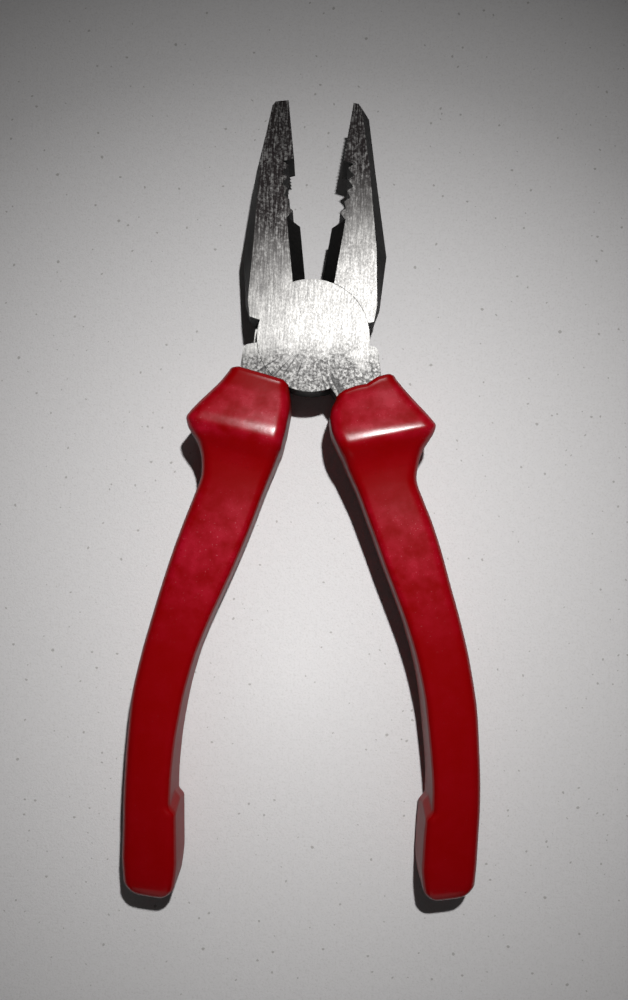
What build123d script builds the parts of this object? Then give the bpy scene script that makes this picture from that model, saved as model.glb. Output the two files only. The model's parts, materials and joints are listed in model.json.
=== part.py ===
from build123d import *
from math import cos, radians, sin
import os

# Combination pliers with a lap joint, in millimetres.
# The origin is on the rivet's axis, in the lower ground face of the joint.
# +Y runs to the jaw tips, +X to the right handle, +Z up through the joint.
# Each half is drawn closed, with its jaw on the left and its handle on the
# right, and is then turned about the rivet. The back half is the same forging
# rolled over, so that its disc lies under the front one's.

# ---- head ----
head_thickness = 10.5
mid_height = head_thickness / 2
jaw_length = 52.7
bite_clearance = 0.05        # from the closing line to each bite face
lap_clearance = 0.04         # between the two joint discs
jaw_taper = 0.5              # ground off each flat side at the tip
taper_start = 24.0

# ---- joint ----
head_radius = 12.9           # disc edge that turns inside the other jaw
heel_radius = 11.9           # disc edge that turns inside the other shank
head_arc_start = -17.0
head_arc_size = 122.0
turning_clearance = 0.1
rivet_radius = 5.5
rivet_running_clearance = 0.03
rest_opening = 15.5          # angle between the two closing faces

# ---- jaw: heights from the rivet, reaches from the closing line ----
grip_bottom = 39.5           # flat grip above, pipe grip below
pipe_bottom = 27.0
cutter_top = 26.2
corner_height = 21.9         # widest corner of the jaw
waist_height = 9.6
shoulder_height = 5.9
corner_reach = 13.4
waist_reach = 14.0
shoulder_reach = 13.3
corner_draft = 2.7           # how far the ground face stands in from mid-height
waist_draft = 0.95
shoulder_draft = 0.3
tip_nip = 0.8                # corner taken off the jaw tip
cutter_bevel = 2.9

# ---- grips ----
serration_pitch = 0.79
serration_depth = 0.3
serration_count = 16
pipe_tooth_count = 5
pipe_tooth_depth = 1.15
pipe_end_recess = 1.0        # how far the end teeth stand back from the bite
pipe_hollow = 1.1            # how much further the middle teeth stand back

# ---- tang ----
tang_thickness = 7.0
tang_width = 7.6
tang_end_width = 5.4
tang_share = 0.9             # how much of the handle's length holds steel

# ---- sleeve ----
guard_thickness = 20.0
collar_thickness = 16.0
grip_thickness = 15.0
grip_rounding = 4.0
guard_rounding = 2.0
end_rounding = 3.0
handle_splay = 1.3           # the two handles are not bent quite alike

os.makedirs("parts", exist_ok=True)


def jaw_section(height, tip, bend, corner, waist, shoulder):
    """The jaw's outline at one height, out to the given reaches."""
    with BuildSketch(Plane.XY.offset(height)) as section:
        with BuildLine():
            Polyline(
                (0, 0),
                (0, jaw_length),
                (tip_nip - tip, jaw_length),
                (-tip, jaw_length - tip_nip),
                (-bend, grip_bottom),
                (-corner, corner_height),
                (-waist, waist_height),
                (-shoulder, shoulder_height),
                (-0.8 * heel_radius, 4.4),
                close=True,
            )
        make_face()
    return section.sketch


def jaw_blank(face_tip, face_bend, mid_tip, mid_bend):
    """The jaw before its bite is cut: widest at mid-height."""
    corner_face = corner_reach - corner_draft
    waist_face = waist_reach - waist_draft
    shoulder_face = shoulder_reach - shoulder_draft
    middle = jaw_section(mid_height, mid_tip, mid_bend, corner_reach, waist_reach, shoulder_reach)
    with BuildPart() as blank:
        for height in (0, head_thickness):
            face = jaw_section(height, face_tip, face_bend, corner_face, waist_face, shoulder_face)
            loft([face, middle], ruled=True)
    return blank.part


def bite_line():
    """The toothed line of the jaw's inner side, from the tip to the joint."""
    first_groove = jaw_length - 0.3
    points = [(-bite_clearance, jaw_length + 1), (-bite_clearance, first_groove)]
    for groove in range(serration_count):
        valley = first_groove - (groove + 0.5) * serration_pitch
        points.append((-bite_clearance - serration_depth, valley))
        points.append((-bite_clearance, valley - serration_pitch / 2))
    pitch = (grip_bottom - pipe_bottom) / pipe_tooth_count
    for tooth in range(pipe_tooth_count):
        along = (2 * tooth + 1) / pipe_tooth_count - 1
        tip = pipe_end_recess + pipe_hollow * (1 - along**2)
        tooth_height = grip_bottom - (tooth + 0.5) * pitch
        points.append((-tip - pipe_tooth_depth, tooth_height + 0.45 * pitch))
        points.append((-tip, tooth_height))
    points.append((-pipe_end_recess - 1.5 * pipe_tooth_depth, pipe_bottom))
    points.append((-bite_clearance, cutter_top))
    points.append((-bite_clearance, 0))
    return points


def joint_disc(height, clearance):
    """The joint disc's outline: a wider arc in the head than in the heel."""
    radius = head_radius + clearance
    with BuildSketch(Plane.XY.offset(height)) as disc:
        Circle(heel_radius + clearance)
        with BuildLine():
            arc = CenterArc((0, 0), radius, head_arc_start, head_arc_size)
            Polyline(arc @ 1, (0, 0), arc @ 0)
        make_face()
    return disc.sketch


def handle_line(splay):
    """The handle's centre line, from beside the joint to the sleeve's end."""
    with BuildLine(Plane.XY.offset(mid_height).rotated((0, 0, splay))) as line:
        Spline((9.8, -14), (12.4, -34), (17.5, -57), (21.2, -84), (20.0, -104), (16.2, -127.3))
    return line.line


def handle_section(line, share):
    """A plane across the handle: its x runs outwards and its y up."""
    ahead = line % share
    return Plane(origin=line @ share, x_dir=Vector(-ahead.Y, ahead.X), z_dir=ahead)


def forged_half(face_tip, face_bend, mid_tip, mid_bend, splay, rivet_hole):
    """One forging: jaw, joint disc, shank and tang."""
    line = handle_line(splay)
    lap_top = mid_height + lap_clearance / 2
    with BuildPart() as half:
        add(jaw_blank(face_tip, face_bend, mid_tip, mid_bend))

        # Both flat sides thin a little towards the tip.
        with BuildSketch(Plane.YZ):
            for face_height, inwards in ((0, 1), (head_thickness, -1)):
                with BuildLine():
                    Polyline(
                        (taper_start, face_height),
                        (jaw_length + 1, face_height + inwards * jaw_taper),
                        (jaw_length + 1, face_height - inwards),
                        (taper_start, face_height - inwards),
                        close=True,
                    )
                make_face()
        extrude(amount=corner_reach, both=True, mode=Mode.SUBTRACT)

        # Flat grip, pipe grip and the lip above the cutter, cut right through.
        with BuildSketch():
            with BuildLine():
                Polyline(*bite_line(), (1, 0), (1, jaw_length + 1), close=True)
            make_face()
        extrude(amount=head_thickness, mode=Mode.SUBTRACT)

        # Cutter: both sides slope down to an edge at mid-height.
        with BuildSketch(Plane.XZ.offset(-pipe_bottom)):
            for face_height in (0, head_thickness):
                with BuildLine():
                    Polyline(
                        (-bite_clearance, mid_height),
                        (-cutter_bevel, face_height),
                        (0, face_height),
                        close=True,
                    )
                make_face()
        extrude(amount=pipe_bottom, mode=Mode.SUBTRACT)

        # Shank, as thick as the head.
        with BuildSketch(Plane.XY.rotated((0, 0, splay))):
            with BuildLine():
                Polyline(
                    (9.1, -2.2),
                    (12.4, -3.15),
                    (13.8, -3.65),
                    (14.4, -4.5),
                    (14.4, -9.1),
                    (13.6, -17.2),
                    (5.9, -17.2),
                    (4.3, -13.7),
                    (2.0, -9.6),
                    close=True,
                )
            make_face()
        extrude(amount=head_thickness)

        # Room below the lap for the other half's disc, then this half's own.
        other_disc = mirror(joint_disc(0, turning_clearance), about=Plane.YZ, mode=Mode.PRIVATE)
        extrude(other_disc, amount=lap_top, mode=Mode.SUBTRACT)
        extrude(joint_disc(lap_top, 0), amount=head_thickness - lap_top)

        # Tang: a tapering bar that runs down the handle.
        for share, width in ((0, tang_width), (0.5, tang_width), (tang_share, tang_end_width)):
            with BuildSketch(handle_section(line, share)):
                Rectangle(width, tang_thickness)
        loft()

        with BuildSketch():
            Circle(rivet_hole)
        extrude(amount=head_thickness, mode=Mode.SUBTRACT)
    return half.part


def sleeve(splay, steel):
    """A moulded sleeve with a flared finger guard, hollow where the steel is."""
    line = handle_line(splay)
    base = Plane.XY.offset(mid_height).rotated((0, 0, splay))
    # Share of the handle's length, reach inwards and reach outwards.
    stations = (
        (0.04, 8.3, 8.0),
        (0.18, 6.9, 6.8),
        (0.38, 6.3, 6.3),
        (0.62, 5.7, 5.6),
        (0.77, 5.3, 5.3),
        (0.86, 6.3, 5.8),
        (1.0, 5.6, 5.6),
    )
    with BuildPart() as cover:
        for share, inwards, outwards in stations:
            with BuildSketch(handle_section(line, share)):
                with Locations(((outwards - inwards) / 2, 0)):
                    RectangleRounded(inwards + outwards, grip_thickness, grip_rounding)
        loft()
        fillet(cover.faces().sort_by(Axis.Y)[0].edges(), end_rounding)

        # Guard plateau, and the lower collar that runs it down to the grip.
        with BuildSketch(base):
            with BuildLine():
                Polyline(
                    (3.6, -12.8),
                    (10.0, -11.0),
                    (16.4, -10.0),
                    (24.3, -21.2),
                    (23.8, -24.4),
                    (2.6, -24.9),
                    (2.2, -17.0),
                    close=True,
                )
            make_face()
        extrude(amount=guard_thickness / 2, both=True)
        flats = cover.faces().filter_by(Axis.Z).group_by(Axis.Z)
        fillet([flats[0].edges(), flats[-1].edges()], guard_rounding)
        with BuildSketch(base):
            with BuildLine():
                Polyline(
                    (2.4, -22.0),
                    (24.0, -22.0),
                    (21.6, -27.0),
                    (20.4, -30.0),
                    (19.6, -36.0),
                    (6.0, -36.0),
                    (3.9, -29.2),
                    close=True,
                )
            make_face()
        extrude(amount=collar_thickness / 2, both=True)
        add(steel, mode=Mode.SUBTRACT)
    return cover.part


# ---- the pieces ----
roll_over = Location((0, 0, head_thickness), (0, 180, 0))

front_half = forged_half(3.65, 7.6, 4.4, 8.75, handle_splay, rivet_radius + rivet_running_clearance)
right_sleeve = sleeve(handle_splay, front_half)
back_half = forged_half(1.8, 5.9, 4.0, 7.8, -handle_splay, rivet_radius)
left_sleeve = sleeve(-handle_splay, back_half)

with BuildPart() as pivot_rivet:
    Cylinder(rivet_radius, head_thickness, align=(Align.CENTER, Align.CENTER, Align.MIN))

turned = {
    "front_half": front_half.rotate(Axis.Z, rest_opening / 2),
    "right_sleeve": right_sleeve.rotate(Axis.Z, rest_opening / 2),
    "back_half": back_half.moved(roll_over).rotate(Axis.Z, -rest_opening / 2),
    "left_sleeve": left_sleeve.moved(roll_over).rotate(Axis.Z, -rest_opening / 2),
    "pivot_rivet": pivot_rivet.part,
}
for name, piece in turned.items():
    piece.label = name
    export_step(piece, f"parts/{name}.step")
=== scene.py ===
import json
import math

import bmesh
import bpy
import numpy as np
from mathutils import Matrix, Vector


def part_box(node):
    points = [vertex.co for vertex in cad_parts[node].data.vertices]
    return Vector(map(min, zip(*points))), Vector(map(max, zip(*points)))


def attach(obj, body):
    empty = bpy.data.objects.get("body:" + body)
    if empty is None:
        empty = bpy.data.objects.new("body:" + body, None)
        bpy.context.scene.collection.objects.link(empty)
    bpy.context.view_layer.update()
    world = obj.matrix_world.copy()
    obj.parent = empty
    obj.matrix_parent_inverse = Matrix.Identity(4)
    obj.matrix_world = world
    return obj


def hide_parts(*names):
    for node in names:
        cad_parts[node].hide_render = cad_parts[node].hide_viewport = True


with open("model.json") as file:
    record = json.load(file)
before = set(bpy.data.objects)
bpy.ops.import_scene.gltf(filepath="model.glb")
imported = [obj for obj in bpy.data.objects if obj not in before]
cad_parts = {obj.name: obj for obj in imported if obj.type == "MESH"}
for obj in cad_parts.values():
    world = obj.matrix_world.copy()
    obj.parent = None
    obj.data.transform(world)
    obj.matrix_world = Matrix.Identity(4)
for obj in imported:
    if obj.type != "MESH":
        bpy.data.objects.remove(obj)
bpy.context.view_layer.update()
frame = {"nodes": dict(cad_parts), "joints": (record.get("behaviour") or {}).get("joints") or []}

MM = 0.001
HEAD_LOW, HEAD_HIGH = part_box("pivot_rivet")
MID_Z = (HEAD_LOW.z + HEAD_HIGH.z) / 2 / MM
HALF_OPENING = math.radians(-frame["joints"][0]["range_deg"][0] / 2)
SPLAY = math.radians(1.3)

# ---- camera: looks straight down, from above a point below the rivet ----
CAMERA_AT = Vector((2.18, -35.67, 189.2)) * MM
CAMERA_ROLL = math.radians(2.45)
LENS, SENSOR = 29.25, 36.0
camera_data = bpy.data.cameras.new("camera")
camera_data.lens = LENS
camera_data.sensor_width = SENSOR
camera = bpy.data.objects.new("camera", camera_data)
bpy.context.scene.collection.objects.link(camera)
camera.location = CAMERA_AT
camera.rotation_euler = (0.0, 0.0, CAMERA_ROLL)
bpy.context.scene.camera = camera
bpy.context.scene.view_settings.view_transform = "Standard"


# ---- node helpers ----
def new_material(name):
    material = bpy.data.materials.new(name)
    material.use_nodes = True
    tree = material.node_tree
    return material, tree, tree.nodes["Principled BSDF"]


def feed(tree, socket, value):
    """Links a socket's value, or sets it when it's a plain number or colour."""
    if isinstance(value, bpy.types.NodeSocket):
        tree.links.new(value, socket)
    else:
        socket.default_value = value


def math_node(tree, operation, a, b=0.0, c=0.0, clamp=False):
    node = tree.nodes.new("ShaderNodeMath")
    node.operation = operation
    node.use_clamp = clamp
    for socket, value in zip(node.inputs, (a, b, c)):
        feed(tree, socket, value)
    return node.outputs[0]


def ramp(tree, value, low, high, out_low=0.0, out_high=1.0):
    """A smooth step from out_low to out_high as value goes from low to high."""
    node = tree.nodes.new("ShaderNodeMapRange")
    node.interpolation_type = "SMOOTHSTEP"
    feed(tree, node.inputs["Value"], value)
    for key, number in (("From Min", low), ("From Max", high), ("To Min", out_low), ("To Max", out_high)):
        feed(tree, node.inputs[key], number)
    return node.outputs["Result"]


def mix_color(tree, factor, a, b):
    node = tree.nodes.new("ShaderNodeMix")
    node.data_type = "RGBA"
    feed(tree, node.inputs[0], factor)
    feed(tree, node.inputs[6], (*a, 1.0) if isinstance(a, tuple) else a)
    feed(tree, node.inputs[7], (*b, 1.0) if isinstance(b, tuple) else b)
    return node.outputs[2]


def object_point(tree, stretch=(1.0, 1.0, 1.0), turn=0.0):
    """Object coordinates in millimetres, turned about Z and stretched."""
    coordinates = tree.nodes.new("ShaderNodeTexCoord").outputs["Object"]
    mapping = tree.nodes.new("ShaderNodeMapping")
    mapping.inputs["Rotation"].default_value = (0.0, 0.0, turn)
    mapping.inputs["Scale"].default_value = tuple(s / MM for s in stretch)
    tree.links.new(coordinates, mapping.inputs["Vector"])
    return mapping.outputs["Vector"]


def noise(tree, point, scale, detail=2.0, roughness=0.5):
    node = tree.nodes.new("ShaderNodeTexNoise")
    node.inputs["Scale"].default_value = scale
    node.inputs["Detail"].default_value = detail
    node.inputs["Roughness"].default_value = roughness
    tree.links.new(point, node.inputs["Vector"])
    return node.outputs["Fac"]


def bump(tree, height, strength, distance):
    node = tree.nodes.new("ShaderNodeBump")
    node.inputs["Strength"].default_value = strength
    node.inputs["Distance"].default_value = distance
    tree.links.new(height, node.inputs["Height"])
    return node.outputs["Normal"]


# ---- materials ----
# Colours are linear red, green and blue.
TABLE_PALE, TABLE_PALER = (0.585, 0.573, 0.573), (0.655, 0.642, 0.640)
TABLE_GRAIN, TABLE_SPECK = (0.42, 0.40, 0.38), (0.30, 0.29, 0.27)
TABLE_ROUGHNESS, TABLE_SPECULAR = 0.60, 0.25

GROUND_LOW, GROUND_HIGH = (0.17, 0.167, 0.162), (0.30, 0.294, 0.284)
# Darker speckled colours towards the tips: painted shade for the lamp's reflection fading away from the
# joint.
TIP_LOW, TIP_HIGH = (0.014, 0.012, 0.012), (0.15, 0.146, 0.142)
# Partly real pitting, partly painted shade that keeps the heel darker than the lamp's reflection leaves it.
PIT_AND_SHADE_LOW, PIT_AND_SHADE_HIGH = (0.008, 0.008, 0.008), (0.15, 0.147, 0.143)
SCRATCH = (0.02, 0.02, 0.02)
BLACK_LOW, BLACK_HIGH = (0.004, 0.004, 0.004), (0.016, 0.015, 0.014)
BLACK_ROUGHNESS, STEEL_SPECULAR = 0.55, 0.10
PIT_AND_SHADE_COVER = 0.85
RIVET_TURN = 0.5

RED, RUBBED_RED, NICK_RED = (0.195, 0.0, 0.0006), (0.32, 0.0035, 0.016), (0.60, 0.16, 0.18)
SLEEVE_ROUGHNESS, RUBBED_ROUGHER, SIDE_ROUGHER = 0.22, 0.08, 0.22
SLEEVE_SPECULAR, SIDE_DULLING = 0.30, -0.7


def floor_material():
    """A pale table with faint mottling, grain and a few dark specks."""
    material, tree, shader = new_material("pale_table")
    point = object_point(tree)
    mottle = noise(tree, point, 0.6, 4.0, 0.6)
    grain = noise(tree, point, 1.9, 3.0, 0.75)
    speck = noise(tree, point, 0.85, 0.0, 0.4)
    pale = mix_color(tree, mottle, TABLE_PALE, TABLE_PALER)
    pale = mix_color(tree, ramp(tree, grain, 0.52, 0.30, 0.0, 0.35), pale, TABLE_GRAIN)
    dark = ramp(tree, speck, 0.80, 0.83, 0.0, 0.7)
    feed(tree, shader.inputs["Base Color"], mix_color(tree, dark, pale, TABLE_SPECK))
    shader.inputs["Roughness"].default_value = TABLE_ROUGHNESS
    shader.inputs["Specular IOR Level"].default_value = TABLE_SPECULAR
    feed(tree, shader.inputs["Normal"], bump(tree, grain, 0.35, 0.0002))
    return material


def upright_share(tree, kind):
    """How flat a surface lies: 1 where it faces straight up or down, 0 on a wall."""
    facing = tree.nodes.new("ShaderNodeSeparateXYZ")
    tree.links.new(tree.nodes.new("ShaderNodeNewGeometry").outputs[kind], facing.inputs[0])
    return math_node(tree, "ABSOLUTE", facing.outputs["Z"])


def heel_scratches(tree, x, y):
    """Dark scratches that fan out over the heel from the rivet."""
    angle = math_node(tree, "ARCTAN2", x, y)
    fan = tree.nodes.new("ShaderNodeCombineXYZ")
    feed(tree, fan.inputs["X"], math_node(tree, "MULTIPLY", angle, 8.0))
    feed(tree, fan.inputs["Y"], math_node(tree, "MULTIPLY", y, 0.03))
    scratch = ramp(tree, noise(tree, fan.outputs[0], 1.0, 2.0, 0.6), 0.57, 0.64)
    return math_node(tree, "MULTIPLY", scratch, ramp(tree, y, -2.0, -7.0, 0.0, 0.8))


def steel_material(name, turn):
    """Forged steel: flat faces ground bright along the tool, all other sides blackened."""
    material, tree, shader = new_material(name)
    point = object_point(tree)
    split = tree.nodes.new("ShaderNodeSeparateXYZ")
    tree.links.new(point, split.inputs[0])
    x, y = split.outputs["X"], split.outputs["Y"]
    flat = ramp(tree, upright_share(tree, "True Normal"), 0.90, 0.985)

    lines = noise(tree, object_point(tree, (3.2, 0.22, 1.0), turn), 1.0, 3.0, 0.6)
    fine = noise(tree, object_point(tree, (1.0, 0.6, 1.0), turn), 3.4, 3.0, 0.7)
    coarse = noise(tree, point, 1.5, 4.0, 0.75)
    cloud = noise(tree, point, 0.16, 3.0, 0.6)
    # Towards the tips the faces get darker and speckled: painted shade for the lamp's reflection fading away
    # from the joint, over a real speckle. Over the heel there is pitting, and its darkening is partly painted
    # shade too.
    ragged = math_node(tree, "MULTIPLY_ADD", cloud, 16.0, -8.0)
    along = math_node(tree, "ADD", y, ragged)
    tip = ramp(tree, math_node(tree, "MULTIPLY_ADD", x, -0.6, along), 3.0, 33.0)
    # Mask for the heel's pitting and the painted shade laid over it.
    pitted_and_shaded = math_node(tree, "MULTIPLY", ramp(tree, along, 1.0, -7.0), PIT_AND_SHADE_COVER)
    bright = mix_color(tree, ramp(tree, lines, 0.25, 0.75), GROUND_LOW, GROUND_HIGH)
    speckle = math_node(tree, "MULTIPLY_ADD", lines, 0.45, math_node(tree, "MULTIPLY", coarse, 0.55))
    # Painted shade: darker speckled colour towards the tips, where the lamp's reflection fades.
    tip_speckle_and_shade = mix_color(tree, ramp(tree, speckle, 0.46, 0.66), TIP_LOW, TIP_HIGH)
    # Partly painted shade: the heel's pitting colour also holds down the lamp's reflection there.
    pits_and_shade = mix_color(tree, ramp(tree, coarse, 0.42, 0.60), PIT_AND_SHADE_LOW, PIT_AND_SHADE_HIGH)
    ground = mix_color(tree, tip, bright, tip_speckle_and_shade)
    ground = mix_color(tree, pitted_and_shaded, ground, pits_and_shade)
    ground = mix_color(tree, heel_scratches(tree, x, y), ground, SCRATCH)
    black = mix_color(tree, ramp(tree, fine, 0.35, 0.7), BLACK_LOW, BLACK_HIGH)
    feed(tree, shader.inputs["Base Color"], mix_color(tree, flat, black, ground))
    feed(tree, shader.inputs["Metallic"], flat)
    shader.inputs["Specular IOR Level"].default_value = STEEL_SPECULAR
    ground_rough = ramp(tree, fine, 0.3, 0.7, 0.44, 0.56)
    smoother = math_node(tree, "SUBTRACT", ground_rough, BLACK_ROUGHNESS)
    feed(tree, shader.inputs["Roughness"], math_node(tree, "MULTIPLY_ADD", smoother, flat, BLACK_ROUGHNESS))
    relief = math_node(tree, "MULTIPLY_ADD", fine, 0.5, lines)
    feed(tree, shader.inputs["Normal"], bump(tree, relief, 0.25, 0.00004))
    return material


def sleeve_material():
    """Semi-gloss red plastic. The mesh's own "wear" layer makes it hazy where hands rub it."""
    material, tree, shader = new_material("red_sleeve")
    point = object_point(tree)
    wear = tree.nodes.new("ShaderNodeAttribute")
    wear.attribute_name = "wear"
    cloud = noise(tree, point, 0.20, 4.0, 0.62)
    fine = noise(tree, point, 2.6, 3.0, 0.6)
    haze = math_node(tree, "MULTIPLY", wear.outputs["Fac"], ramp(tree, cloud, 0.25, 0.80), clamp=True)
    nick = math_node(tree, "MULTIPLY", haze, ramp(tree, fine, 0.66, 0.74))
    red = mix_color(tree, haze, RED, RUBBED_RED)
    feed(tree, shader.inputs["Base Color"], mix_color(tree, nick, red, NICK_RED))
    # The upright sides are duller than the tops.
    side = ramp(tree, upright_share(tree, "Normal"), 0.25, 0.75, SIDE_ROUGHER, 0.0)
    top_roughness = math_node(tree, "MULTIPLY_ADD", haze, RUBBED_ROUGHER, SLEEVE_ROUGHNESS)
    feed(tree, shader.inputs["Roughness"], math_node(tree, "ADD", top_roughness, side))
    shine = math_node(tree, "MULTIPLY_ADD", side, SIDE_DULLING, SLEEVE_SPECULAR)
    feed(tree, shader.inputs["Specular IOR Level"], shine)
    relief = math_node(tree, "MULTIPLY_ADD", fine, 0.15, cloud)
    feed(tree, shader.inputs["Normal"], bump(tree, relief, 0.12, 0.0003))
    return material


steel = steel_material("ground_steel", 0.0)
rivet_steel = steel_material("rivet_face", RIVET_TURN)
red_plastic = sleeve_material()
for name, node in frame["nodes"].items():
    node.data.materials.clear()
    node.data.materials.append(rivet_steel if name == "pivot_rivet" else steel)


# ---- sleeves ----
# Each row is one ring across a handle, in millimetres, drawn closed and on the right: its inner
# point, its outer point, half its thickness, and its inner and outer corner radii.
RIGHT_ROWS = (
    (3.9, -14.2, 17.5, -11.1, 7.00, 2.4, 2.4),
    (2.7, -16.0, 19.1, -13.7, 7.70, 2.5, 2.6),
    (2.0, -18.6, 21.3, -17.0, 8.60, 2.6, 2.8),
    (2.1, -21.2, 23.4, -20.1, 9.50, 2.5, 2.8),
    (2.5, -23.1, 24.3, -21.6, 9.94, 2.4, 2.8),
    (2.9, -24.4, 24.7, -22.5, 10.06, 2.4, 2.8),
    (3.4, -26.1, 24.2, -24.0, 9.60, 2.6, 3.0),
    (3.9, -27.4, 23.3, -25.3, 9.05, 2.6, 3.0),
    (4.6, -29.8, 21.5, -27.7, 8.25, 2.4, 3.0),
    (5.4, -32.4, 20.2, -30.7, 7.80, 2.2, 2.8),
    (6.3, -35.2, 19.5, -33.8, 7.60, 2.0, 2.7),
    (7.5, -40.0, 20.4, -38.2, 7.50, 1.8, 2.6),
    (8.7, -45.0, 21.7, -43.0, 7.50, 1.8, 2.6),
    (10.2, -51.6, 23.1, -50.0, 7.50, 1.8, 2.6),
    (12.0, -58.8, 24.3, -58.0, 7.50, 1.8, 2.6),
    (13.7, -66.2, 25.6, -66.5, 7.50, 1.8, 2.6),
    (15.0, -74.5, 26.5, -75.0, 7.50, 1.8, 2.6),
    (15.6, -83.0, 26.9, -84.6, 7.50, 1.8, 2.6),
    (15.5, -92.0, 26.4, -93.8, 7.50, 1.8, 2.6),
    (15.2, -99.3, 25.8, -101.0, 7.50, 1.8, 2.6),
    (14.4, -106.0, 25.0, -107.3, 7.50, 1.8, 2.6),
    (13.1, -112.4, 23.9, -113.5, 7.50, 1.9, 2.6),
    (12.0, -118.6, 22.9, -119.2, 7.45, 2.0, 2.6),
)
RIGHT_END = ((11.6, -122.0, 22.4, -121.6), (14.6, -126.1, 18.0, -126.1))
LEFT_ROWS = (
    (3.1, -11.9, 16.7, -10.0, 7.30, 2.4, 2.4),
    (2.5, -13.9, 18.2, -12.7, 7.90, 2.5, 2.6),
    (2.1, -16.6, 20.2, -15.5, 8.65, 2.6, 2.8),
    (2.2, -19.6, 22.3, -18.5, 9.45, 2.5, 2.8),
    (2.3, -21.9, 23.4, -20.3, 9.92, 2.4, 2.8),
    (2.5, -23.4, 24.0, -21.6, 10.03, 2.4, 2.8),
    (2.6, -25.2, 23.6, -23.3, 9.60, 2.6, 3.0),
    (3.0, -26.7, 22.6, -24.8, 9.05, 2.6, 3.0),
    (3.5, -29.0, 20.9, -27.1, 8.25, 2.4, 3.0),
    (4.2, -31.8, 19.7, -30.0, 7.80, 2.2, 2.8),
    (5.0, -35.2, 19.2, -33.6, 7.60, 2.0, 2.7),
    (6.1, -40.5, 20.1, -38.5, 7.50, 1.8, 2.6),
    (7.2, -45.5, 21.4, -44.2, 7.50, 1.8, 2.6),
    (8.8, -52.0, 22.9, -51.6, 7.50, 1.8, 2.6),
    (10.7, -58.8, 24.1, -59.0, 7.50, 1.8, 2.6),
    (12.7, -66.0, 25.3, -67.5, 7.50, 1.8, 2.6),
    (14.5, -74.5, 26.2, -75.0, 7.50, 1.8, 2.6),
    (15.5, -84.0, 26.8, -84.0, 7.50, 1.8, 2.6),
    (15.7, -91.5, 26.4, -92.5, 7.50, 1.8, 2.6),
    (15.4, -99.0, 25.8, -100.0, 7.50, 1.8, 2.6),
    (14.7, -105.6, 25.1, -106.6, 7.50, 1.8, 2.6),
    (13.7, -112.0, 24.2, -113.0, 7.50, 1.9, 2.6),
    (12.6, -118.6, 23.5, -119.0, 7.45, 2.0, 2.6),
)
LEFT_END = ((12.1, -122.4, 22.8, -122.2), (15.0, -126.8, 18.4, -126.8))

RINGS = 230
WALL_POINTS = 7
ARC_POINTS = 9
FLAT_POINTS = 30
END_RINGS = 14
RIM_RINGS = 8
CROWN = 0.12                # how far the flat tops swell in the middle
RIM_INSET, RIM_REACH = 0.12, 1.0
END_THINNING = 0.30         # share of the thickness that the closed end loses
HEEL_Y, HEEL_LEAN, HEEL_STEP = -105.6, 0.22, 1.3
BASE_WEAR, GRIP_WEAR = 0.12, 0.8


def smooth(value, low, high):
    """0 below low, 1 above high and an even S between them."""
    t = np.clip((np.asarray(value) - low) / (high - low), 0, 1)
    return t * t * (3 - 2 * t)


def through(knots, values, at):
    """A smooth curve through the values that never swings beyond them."""
    step = np.diff(knots)
    slope = np.diff(values) / step
    tangent = np.zeros(len(knots))
    for i in range(1, len(knots) - 1):
        if slope[i - 1] * slope[i] > 0:
            w1 = 2 * step[i] + step[i - 1]
            w2 = step[i] + 2 * step[i - 1]
            tangent[i] = (w1 + w2) / (w1 / slope[i - 1] + w2 / slope[i])
    tangent[0], tangent[-1] = slope[0], slope[-1]
    i = np.clip(np.searchsorted(knots, at) - 1, 0, len(step) - 1)
    t = (at - knots[i]) / step[i]
    h00 = 2 * t**3 - 3 * t**2 + 1
    h10 = t**3 - 2 * t**2 + t
    h01 = 3 * t**2 - 2 * t**3
    h11 = t**3 - t**2
    return h00 * values[i] + h10 * step[i] * tangent[i] + h01 * values[i + 1] + h11 * step[i] * tangent[i + 1]


def section(width, half, r_in, r_out):
    """A rounded rectangle from the inner wall's middle round over the top: (across, height) pairs."""
    points = []
    for t in np.linspace(0, 1, WALL_POINTS, endpoint=False):
        points.append((0.0, t * (half - r_in)))
    for t in np.linspace(0, math.pi / 2, ARC_POINTS, endpoint=False):
        points.append((r_in - r_in * math.cos(t), half - r_in + r_in * math.sin(t)))
    for t in np.linspace(0, 1, FLAT_POINTS, endpoint=False):
        points.append((r_in + t * (width - r_in - r_out), half + CROWN * 4 * t * (1 - t)))
    for t in np.linspace(0, math.pi / 2, ARC_POINTS, endpoint=False):
        points.append((width - r_out + r_out * math.sin(t), half - r_out + r_out * math.cos(t)))
    for t in np.linspace(0, 1, WALL_POINTS, endpoint=False):
        points.append((width, (1 - t) * (half - r_out)))
    upper = np.array(points)
    lower = upper[::-1] * (1, -1)
    # The two middles are shared, so the lower half leaves out its own.
    outer_middle = np.array([[width, 0.0]])
    return np.vstack([upper, outer_middle, lower[:-1]])


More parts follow.
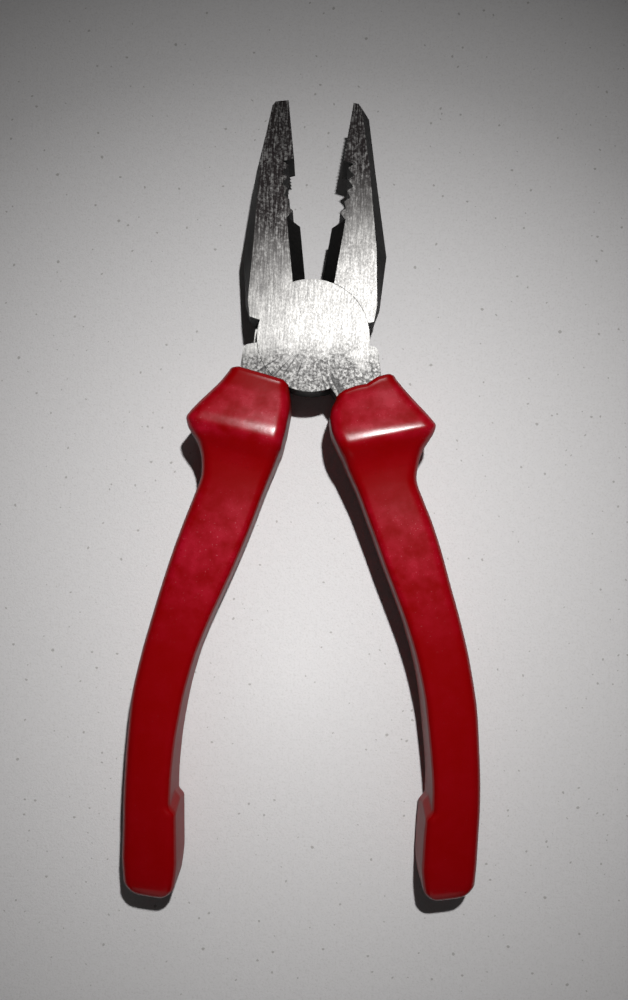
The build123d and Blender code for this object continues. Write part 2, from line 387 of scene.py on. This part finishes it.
def sleeve_rings(rows, end):
    """All the sleeve's rings in the closed tool's right-hand place, from the rim to the end."""
    rows = np.array(rows)
    middle = (rows[:, 0:2] + rows[:, 2:4]) / 2
    length = np.concatenate([[0], np.cumsum(np.hypot(*np.diff(middle, axis=0).T))])
    at = np.linspace(0, length[-1], RINGS)
    table = np.stack([through(length, rows[:, k], at) for k in range(rows.shape[1])], axis=1)
    rings = []
    for xi, yi, xo, yo, half, r_in, r_out in table:
        width = math.hypot(xo - xi, yo - yi)
        ring = section(width, half, r_in, r_out)
        share = ring[:, 0] / width
        rings.append(np.stack([xi + (xo - xi) * share, yi + (yo - yi) * share, ring[:, 1]], axis=1))
    # The rim rolls in from the first ring towards the shank.
    first = rings[0]
    ahead = first.mean(0) - rings[3].mean(0)
    ahead = ahead / np.linalg.norm(ahead)
    centre = first.mean(0)
    rim = []
    for k in range(1, RIM_RINGS + 1):
        angle = math.pi / 2 * k / RIM_RINGS
        inset = 1 - RIM_INSET * (1 - math.cos(angle))
        rim.append(centre + (first - centre) * inset + ahead * RIM_REACH * math.sin(angle))
    rim.reverse()
    # The end closes over a rounded edge.
    (xi0, yi0, xo0, yo0), (xi1, yi1, xo1, yo1) = end
    last = rings[-1]
    share = (last[:, 0] - last[:, 0].min()) / np.ptp(last[:, 0])
    closing = []
    for k in range(1, END_RINGS + 1):
        angle = math.pi / 2 * k / END_RINGS
        s, c = math.sin(angle), 1 - math.cos(angle)
        lead = min(1.0, k / 4)
        xi = (1 - lead) * rows[-1, 0] + lead * xi0
        xo = (1 - lead) * rows[-1, 2] + lead * xo0
        yi = (1 - lead) * rows[-1, 1] + lead * yi0
        yo = (1 - lead) * rows[-1, 3] + lead * yo0
        xi, xo = xi + (xi1 - xi0) * c, xo + (xo1 - xo0) * c
        yi, yo = yi + (yi1 - yi0) * s * lead, yo + (yo1 - yo0) * s * lead
        z = last[:, 2] * (1 - END_THINNING * c)
        closing.append(np.stack([xi + (xo - xi) * share, yi + (yo - yi) * share, z], axis=1))
    return rim, rings, closing


def sleeve_mesh(name, rows, end, wave, to_place):
    """One sleeve as a closed mesh, with its wear layer and its material."""
    rim, rings, closing = sleeve_rings(rows, end)
    grid = np.array(rim + rings + closing)
    count, around = grid.shape[:2]
    # The front edge waves a little.
    ring_low = grid[..., 0].min(axis=1, keepdims=True)
    ring_high = grid[..., 0].max(axis=1, keepdims=True)
    share = (grid[..., 0] - ring_low) / (ring_high - ring_low)
    fade = 1 - smooth(np.arange(count), 3, 18)[:, None]
    grid[..., 1] += fade * np.interp(share, *wave)
    # Below the heel the inner wall stands further in.
    row_inner = grid[..., 0].min(axis=1, keepdims=True)
    near = 1 - smooth(grid[..., 0] - row_inner, 1.2, 4.0)
    heel_y = HEEL_Y - HEEL_LEAN * np.abs(grid[..., 2])
    below = smooth(heel_y - grid[..., 1], -0.9, 0.9)
    grid[..., 0] -= HEEL_STEP * near * below
    # Where the top is rubbed: the guard's slope and the upper grip.
    top = smooth(np.abs(grid[..., 2]), 6.6, 7.3)
    y = grid[..., 1]
    plateau = smooth(y, -25.5, -23.0) * (1 - smooth(y, -14.5, -12.0))
    grip = smooth(y, -74, -52) * (1 - smooth(y, -42, -33))
    wear = top * np.clip(plateau + GRIP_WEAR * grip + BASE_WEAR, 0, 1)

    flat = grid.reshape(-1, 3)
    vertices = [to_place(p) for p in flat]
    faces = []
    for i in range(count - 1):
        for j in range(around):
            k = (j + 1) % around
            faces.append((i * around + j, i * around + k, (i + 1) * around + k, (i + 1) * around + j))
    front_centre = len(vertices)
    vertices.append(to_place(grid[0].mean(0)))
    end_centre = len(vertices)
    vertices.append(to_place(grid[-1].mean(0)))
    base = (count - 1) * around
    for j in range(around):
        k = (j + 1) % around
        faces.append((front_centre, k, j))
        faces.append((end_centre, base + j, base + k))
    mesh = bpy.data.meshes.new(name)
    mesh.from_pydata([tuple(v) for v in vertices], [], faces)
    layer = mesh.attributes.new("wear", "FLOAT", "POINT")
    layer.data.foreach_set("value", np.append(wear.reshape(-1), [0, 0]).astype(np.float32))
    bm = bmesh.new()
    bm.from_mesh(mesh)
    bmesh.ops.recalc_face_normals(bm, faces=bm.faces)
    bm.to_mesh(mesh)
    bm.free()
    mesh.polygons.foreach_set("use_smooth", [True] * len(mesh.polygons))
    mesh.materials.append(red_plastic)
    sleeve = bpy.data.objects.new(name, mesh)
    bpy.context.scene.collection.objects.link(sleeve)
    return sleeve


def turned(x, y, angle):
    c, s = math.cos(angle), math.sin(angle)
    return x * c - y * s, x * s + y * c


def right_place(point):
    """From the closed right-hand place to where the right handle rests open."""
    x, y = turned(point[0], point[1], HALF_OPENING + SPLAY)
    return Vector((x, y, MID_Z + point[2])) * MM


def left_place(point):
    """The same, rolled over for the left handle."""
    x, y = turned(-point[0], point[1], SPLAY - HALF_OPENING)
    return Vector((x, y, MID_Z - point[2])) * MM


RIGHT_WAVE = ((0.0, 0.12, 0.35, 0.52, 0.72, 0.93, 1.0), (0.0, 0.35, 0.35, -0.05, 0.65, 0.5, 0.0))
LEFT_WAVE = ((0.0, 0.08, 0.5, 0.9, 1.0), (0.0, 0.5, 0.45, 0.4, 0.0))
right_sleeve = sleeve_mesh("right_sleeve_look", RIGHT_ROWS, RIGHT_END, RIGHT_WAVE, right_place)
left_sleeve = sleeve_mesh("left_sleeve_look", LEFT_ROWS, LEFT_END, LEFT_WAVE, left_place)
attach(right_sleeve, "front")
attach(left_sleeve, "back")
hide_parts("right_sleeve")
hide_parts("left_sleeve")


# ---- floor ----
# Where the tool touches the table, and half its thickness there.
GUARD_Y, GUARD_HALF = -24.0, 10.2
END_Y, END_HALF = -125.0, 7.6
FLOOR_SIZE = 3.0


def make_floor():
    """A wide table, tilted a little because the handle ends are thinner than the guards."""
    mesh = bpy.data.meshes.new("floor")
    bm = bmesh.new()
    bmesh.ops.create_grid(bm, x_segments=8, y_segments=8, size=FLOOR_SIZE)
    bm.to_mesh(mesh)
    bm.free()
    mesh.materials.append(floor_material())
    floor = bpy.data.objects.new("floor", mesh)
    bpy.context.scene.collection.objects.link(floor)
    drop = GUARD_HALF - END_HALF
    floor.rotation_euler = (-math.atan2(drop, GUARD_Y - END_Y), 0, 0)
    floor.location = (0, GUARD_Y * MM, (MID_Z - GUARD_HALF) * MM)
    return floor


make_floor()


# ---- light: a near lamp of two beams, two low panels and a dim surround ----
LAMP_AT = Vector((28, 56, 257)) * MM
LAMP_TARGET = Vector((0, -75, 0)) * MM
LAMP_SIZE = 0.008
PANEL_SIZE, PANEL_WATTS = 0.7, 0.36
PANEL_AWAY, PANEL_UP = 900, 350
SURROUND = 0.015


def lamp(name, at, target, size, watts):
    data = bpy.data.lights.new(name, "AREA")
    data.shape = "DISK"
    data.size = size
    data.energy = watts
    holder = bpy.data.objects.new(name, data)
    bpy.context.scene.collection.objects.link(holder)
    holder.location = at
    holder.rotation_euler = (Vector(target) - Vector(at)).to_track_quat("-Z", "Y").to_euler()
    return data


for name, watts, spread in (("beam", 0.036, 60), ("spill", 0.142, 85)):
    lamp(name, LAMP_AT, LAMP_TARGET, LAMP_SIZE, watts).spread = math.radians(spread)
# The panels stand before and behind the tool, so that its sides can be read.
for name, side in (("fill_front", -1), ("fill_back", 1)):
    lamp(name, Vector((0, side * PANEL_AWAY, PANEL_UP)) * MM, Vector((0, 0, 0)), PANEL_SIZE, PANEL_WATTS)
world = bpy.data.worlds.new("world")
world.use_nodes = True
world.node_tree.nodes["Background"].inputs["Color"].default_value = (1, 1, 1, 1)
world.node_tree.nodes["Background"].inputs["Strength"].default_value = SURROUND
bpy.context.scene.world = world
